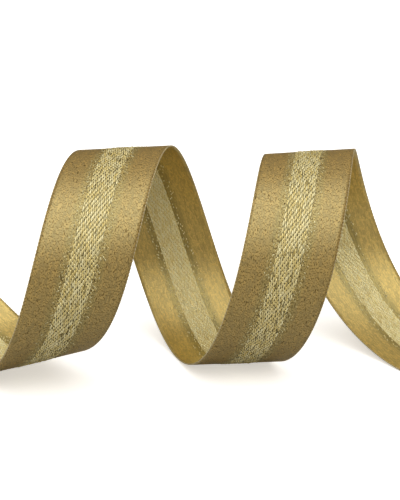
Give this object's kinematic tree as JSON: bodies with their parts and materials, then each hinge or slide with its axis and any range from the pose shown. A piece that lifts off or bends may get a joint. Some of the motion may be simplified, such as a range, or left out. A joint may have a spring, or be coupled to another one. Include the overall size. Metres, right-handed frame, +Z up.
{
  "type": "curled ribbon",
  "caption": "Curled length of woven gold satin gift ribbon with a metallic centre stripe, standing in open turns with a flat tail at each end.",
  "frame": {"origin": "middle of the ribbon's box, on the surface that it stands on", "axes": "+X along the curl from the left turn to the right one, +Z up, +Y to the back, where the left tail lies"},
  "size_m": [0.3086, 0.107, 0.0631],
  "materials": {
    "satin_cloth": "woven satin of fine gold-tan yarn with a soft sheen",
    "border_cloth": "satin with sparse metallic yarn showing through",
    "metallic_yarn": "densely floated metallic yarn, pale gold glitter",
    "selvedge_yarn": "corded woven edge of pale yarn"
  },
  "bodies": {
    "root": {"selvedge_left": "selvedge_yarn", "satin_band_left": "satin_cloth", "stripe_border_left": "border_cloth", "metallic_stripe": "metallic_yarn", "stripe_border_right": "border_cloth", "satin_band_right": "satin_cloth", "selvedge_right": "selvedge_yarn"}
  },
  "joints": []
}
